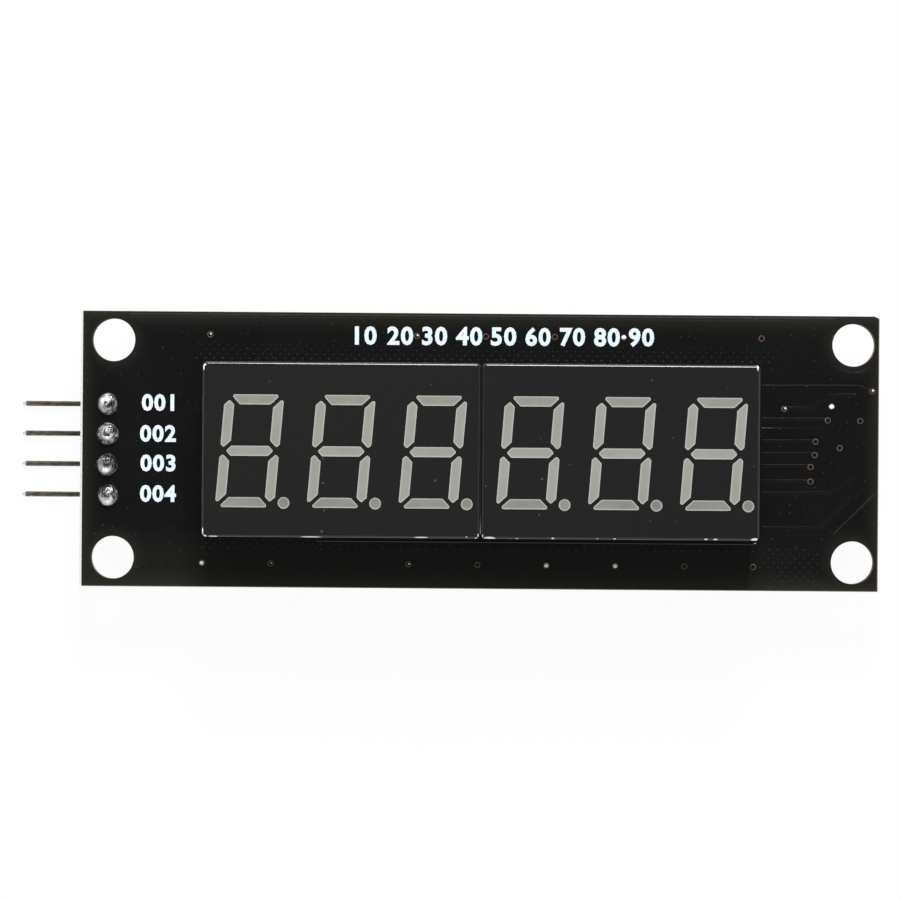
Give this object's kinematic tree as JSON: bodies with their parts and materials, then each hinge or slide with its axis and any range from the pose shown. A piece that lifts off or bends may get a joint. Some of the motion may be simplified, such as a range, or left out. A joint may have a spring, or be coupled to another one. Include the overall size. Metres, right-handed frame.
{
  "type": "seven segment display module",
  "caption": "Circuit board with two side-by-side numeric LED displays, a driver chip on its back, a bent pin header at one end and a mounting hole in each corner.",
  "frame": {"origin": "middle of the four mounting holes, on the circuit board's back face", "axes": "+X along the board, away from the pin header; +Y up the digits; +Z out of the displays' faces"},
  "size_m": [0.0712, 0.0228, 0.0126],
  "materials": {
    "board": "semi-gloss black solder mask over glass-epoxy laminate",
    "via_copper": "bare plated copper",
    "header_plastic": "moulded black nylon",
    "header_metal": "dull tin plating over brass",
    "solder": "bright uneven solder",
    "housing": "charcoal face, glossy black edges",
    "resin": "milky cast resin",
    "carrier": "plain laminate",
    "light_chip": "semiconductor chip",
    "tinned_metal": "tin plated",
    "chip_plastic": "moulded black epoxy",
    "resistor_body": "black glaze",
    "capacitor_body": "matt fired ceramic"
  },
  "bodies": {
    "root": {"circuit_board": "board", "plated_vias": "via_copper", "header_strip": "header_plastic", "header_pin_1": "header_metal", "header_pin_2": "header_metal", "header_pin_3": "header_metal", "header_pin_4": "header_metal", "header_solder_joints": "solder", "left_display_housing": "housing", "left_display_resin": "resin", "left_display_carrier": "carrier", "left_display_light_chips": "light_chip", "left_display_pins": "tinned_metal", "left_display_solder_joints": "solder", "right_display_housing": "housing", "right_display_resin": "resin", "right_display_carrier": "carrier", "right_display_light_chips": "light_chip", "right_display_pins": "tinned_metal", "right_display_solder_joints": "solder", "driver_chip_body": "chip_plastic", "driver_chip_leads": "tinned_metal", "pull_up_resistors": "resistor_body", "filter_capacitors": "capacitor_body", "bypass_capacitor": "capacitor_body", "bulk_capacitor": "capacitor_body", "end_caps": "tinned_metal"}
  },
  "joints": []
}
